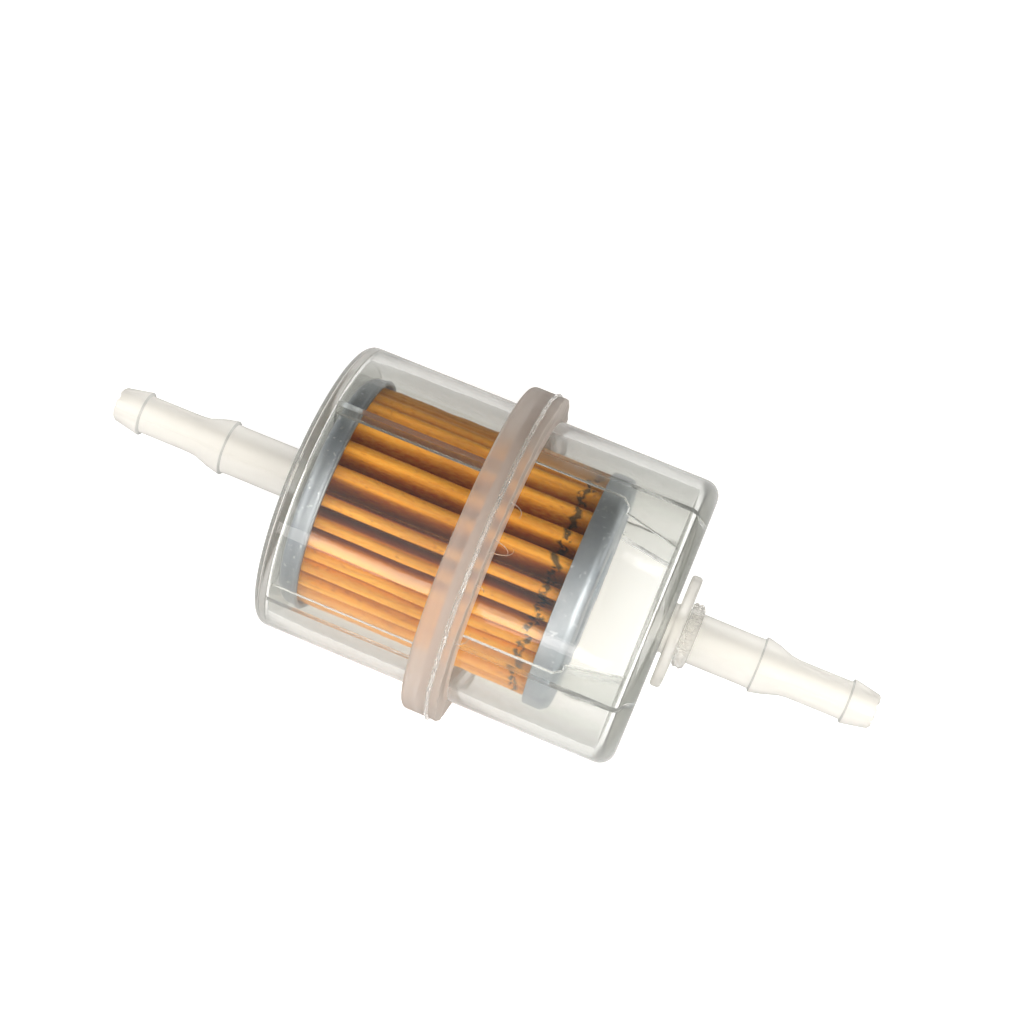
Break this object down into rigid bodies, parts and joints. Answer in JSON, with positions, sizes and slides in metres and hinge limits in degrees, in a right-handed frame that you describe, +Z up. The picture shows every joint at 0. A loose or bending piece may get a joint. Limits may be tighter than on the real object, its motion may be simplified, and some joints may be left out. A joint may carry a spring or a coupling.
{
  "type": "in-line fuel filter",
  "caption": "Clear in-line fuel filter: two welded shells with a collar, stepped barbed hose spigots at both ends, and a pleated paper element between steel caps inside.",
  "frame": {"origin": "centre of the overall box, on the filter's axis, midway between the two spigot tips", "axes": "+X along the filter's axis from the outlet tip to the inlet tip, +Z up, +Y completes a right-handed frame"},
  "size_m": [0.1266, 0.0546, 0.0546],
  "materials": {
    "clear_housing": "clear moulded plastic, slightly hazy, very pale warm grey",
    "milky_nipple": "milky translucent moulded plastic",
    "weld_flash": "rough melted plastic, pale beige",
    "tinned_steel": "tin-plated sheet steel, satin, blue-grey",
    "filter_paper": "resin-cured filter paper, amber, matt with fine fibre",
    "potting": "cured potting compound",
    "seal_rubber": "black fuel-resistant rubber"
  },
  "bodies": {
    "root": {"outlet_shell": "clear_housing", "inlet_shell": "clear_housing", "collar_weld_bead": "weld_flash", "inlet_nipple": "milky_nipple", "nipple_weld_bead": "weld_flash", "outlet_end_cap": "tinned_steel", "closed_end_cap": "tinned_steel", "outlet_cap_potting": "potting", "closed_cap_potting": "potting", "pleated_paper": "filter_paper", "paper_seam_clip": "tinned_steel", "perforated_core": "tinned_steel", "outlet_seal": "seal_rubber"}
  },
  "joints": []
}
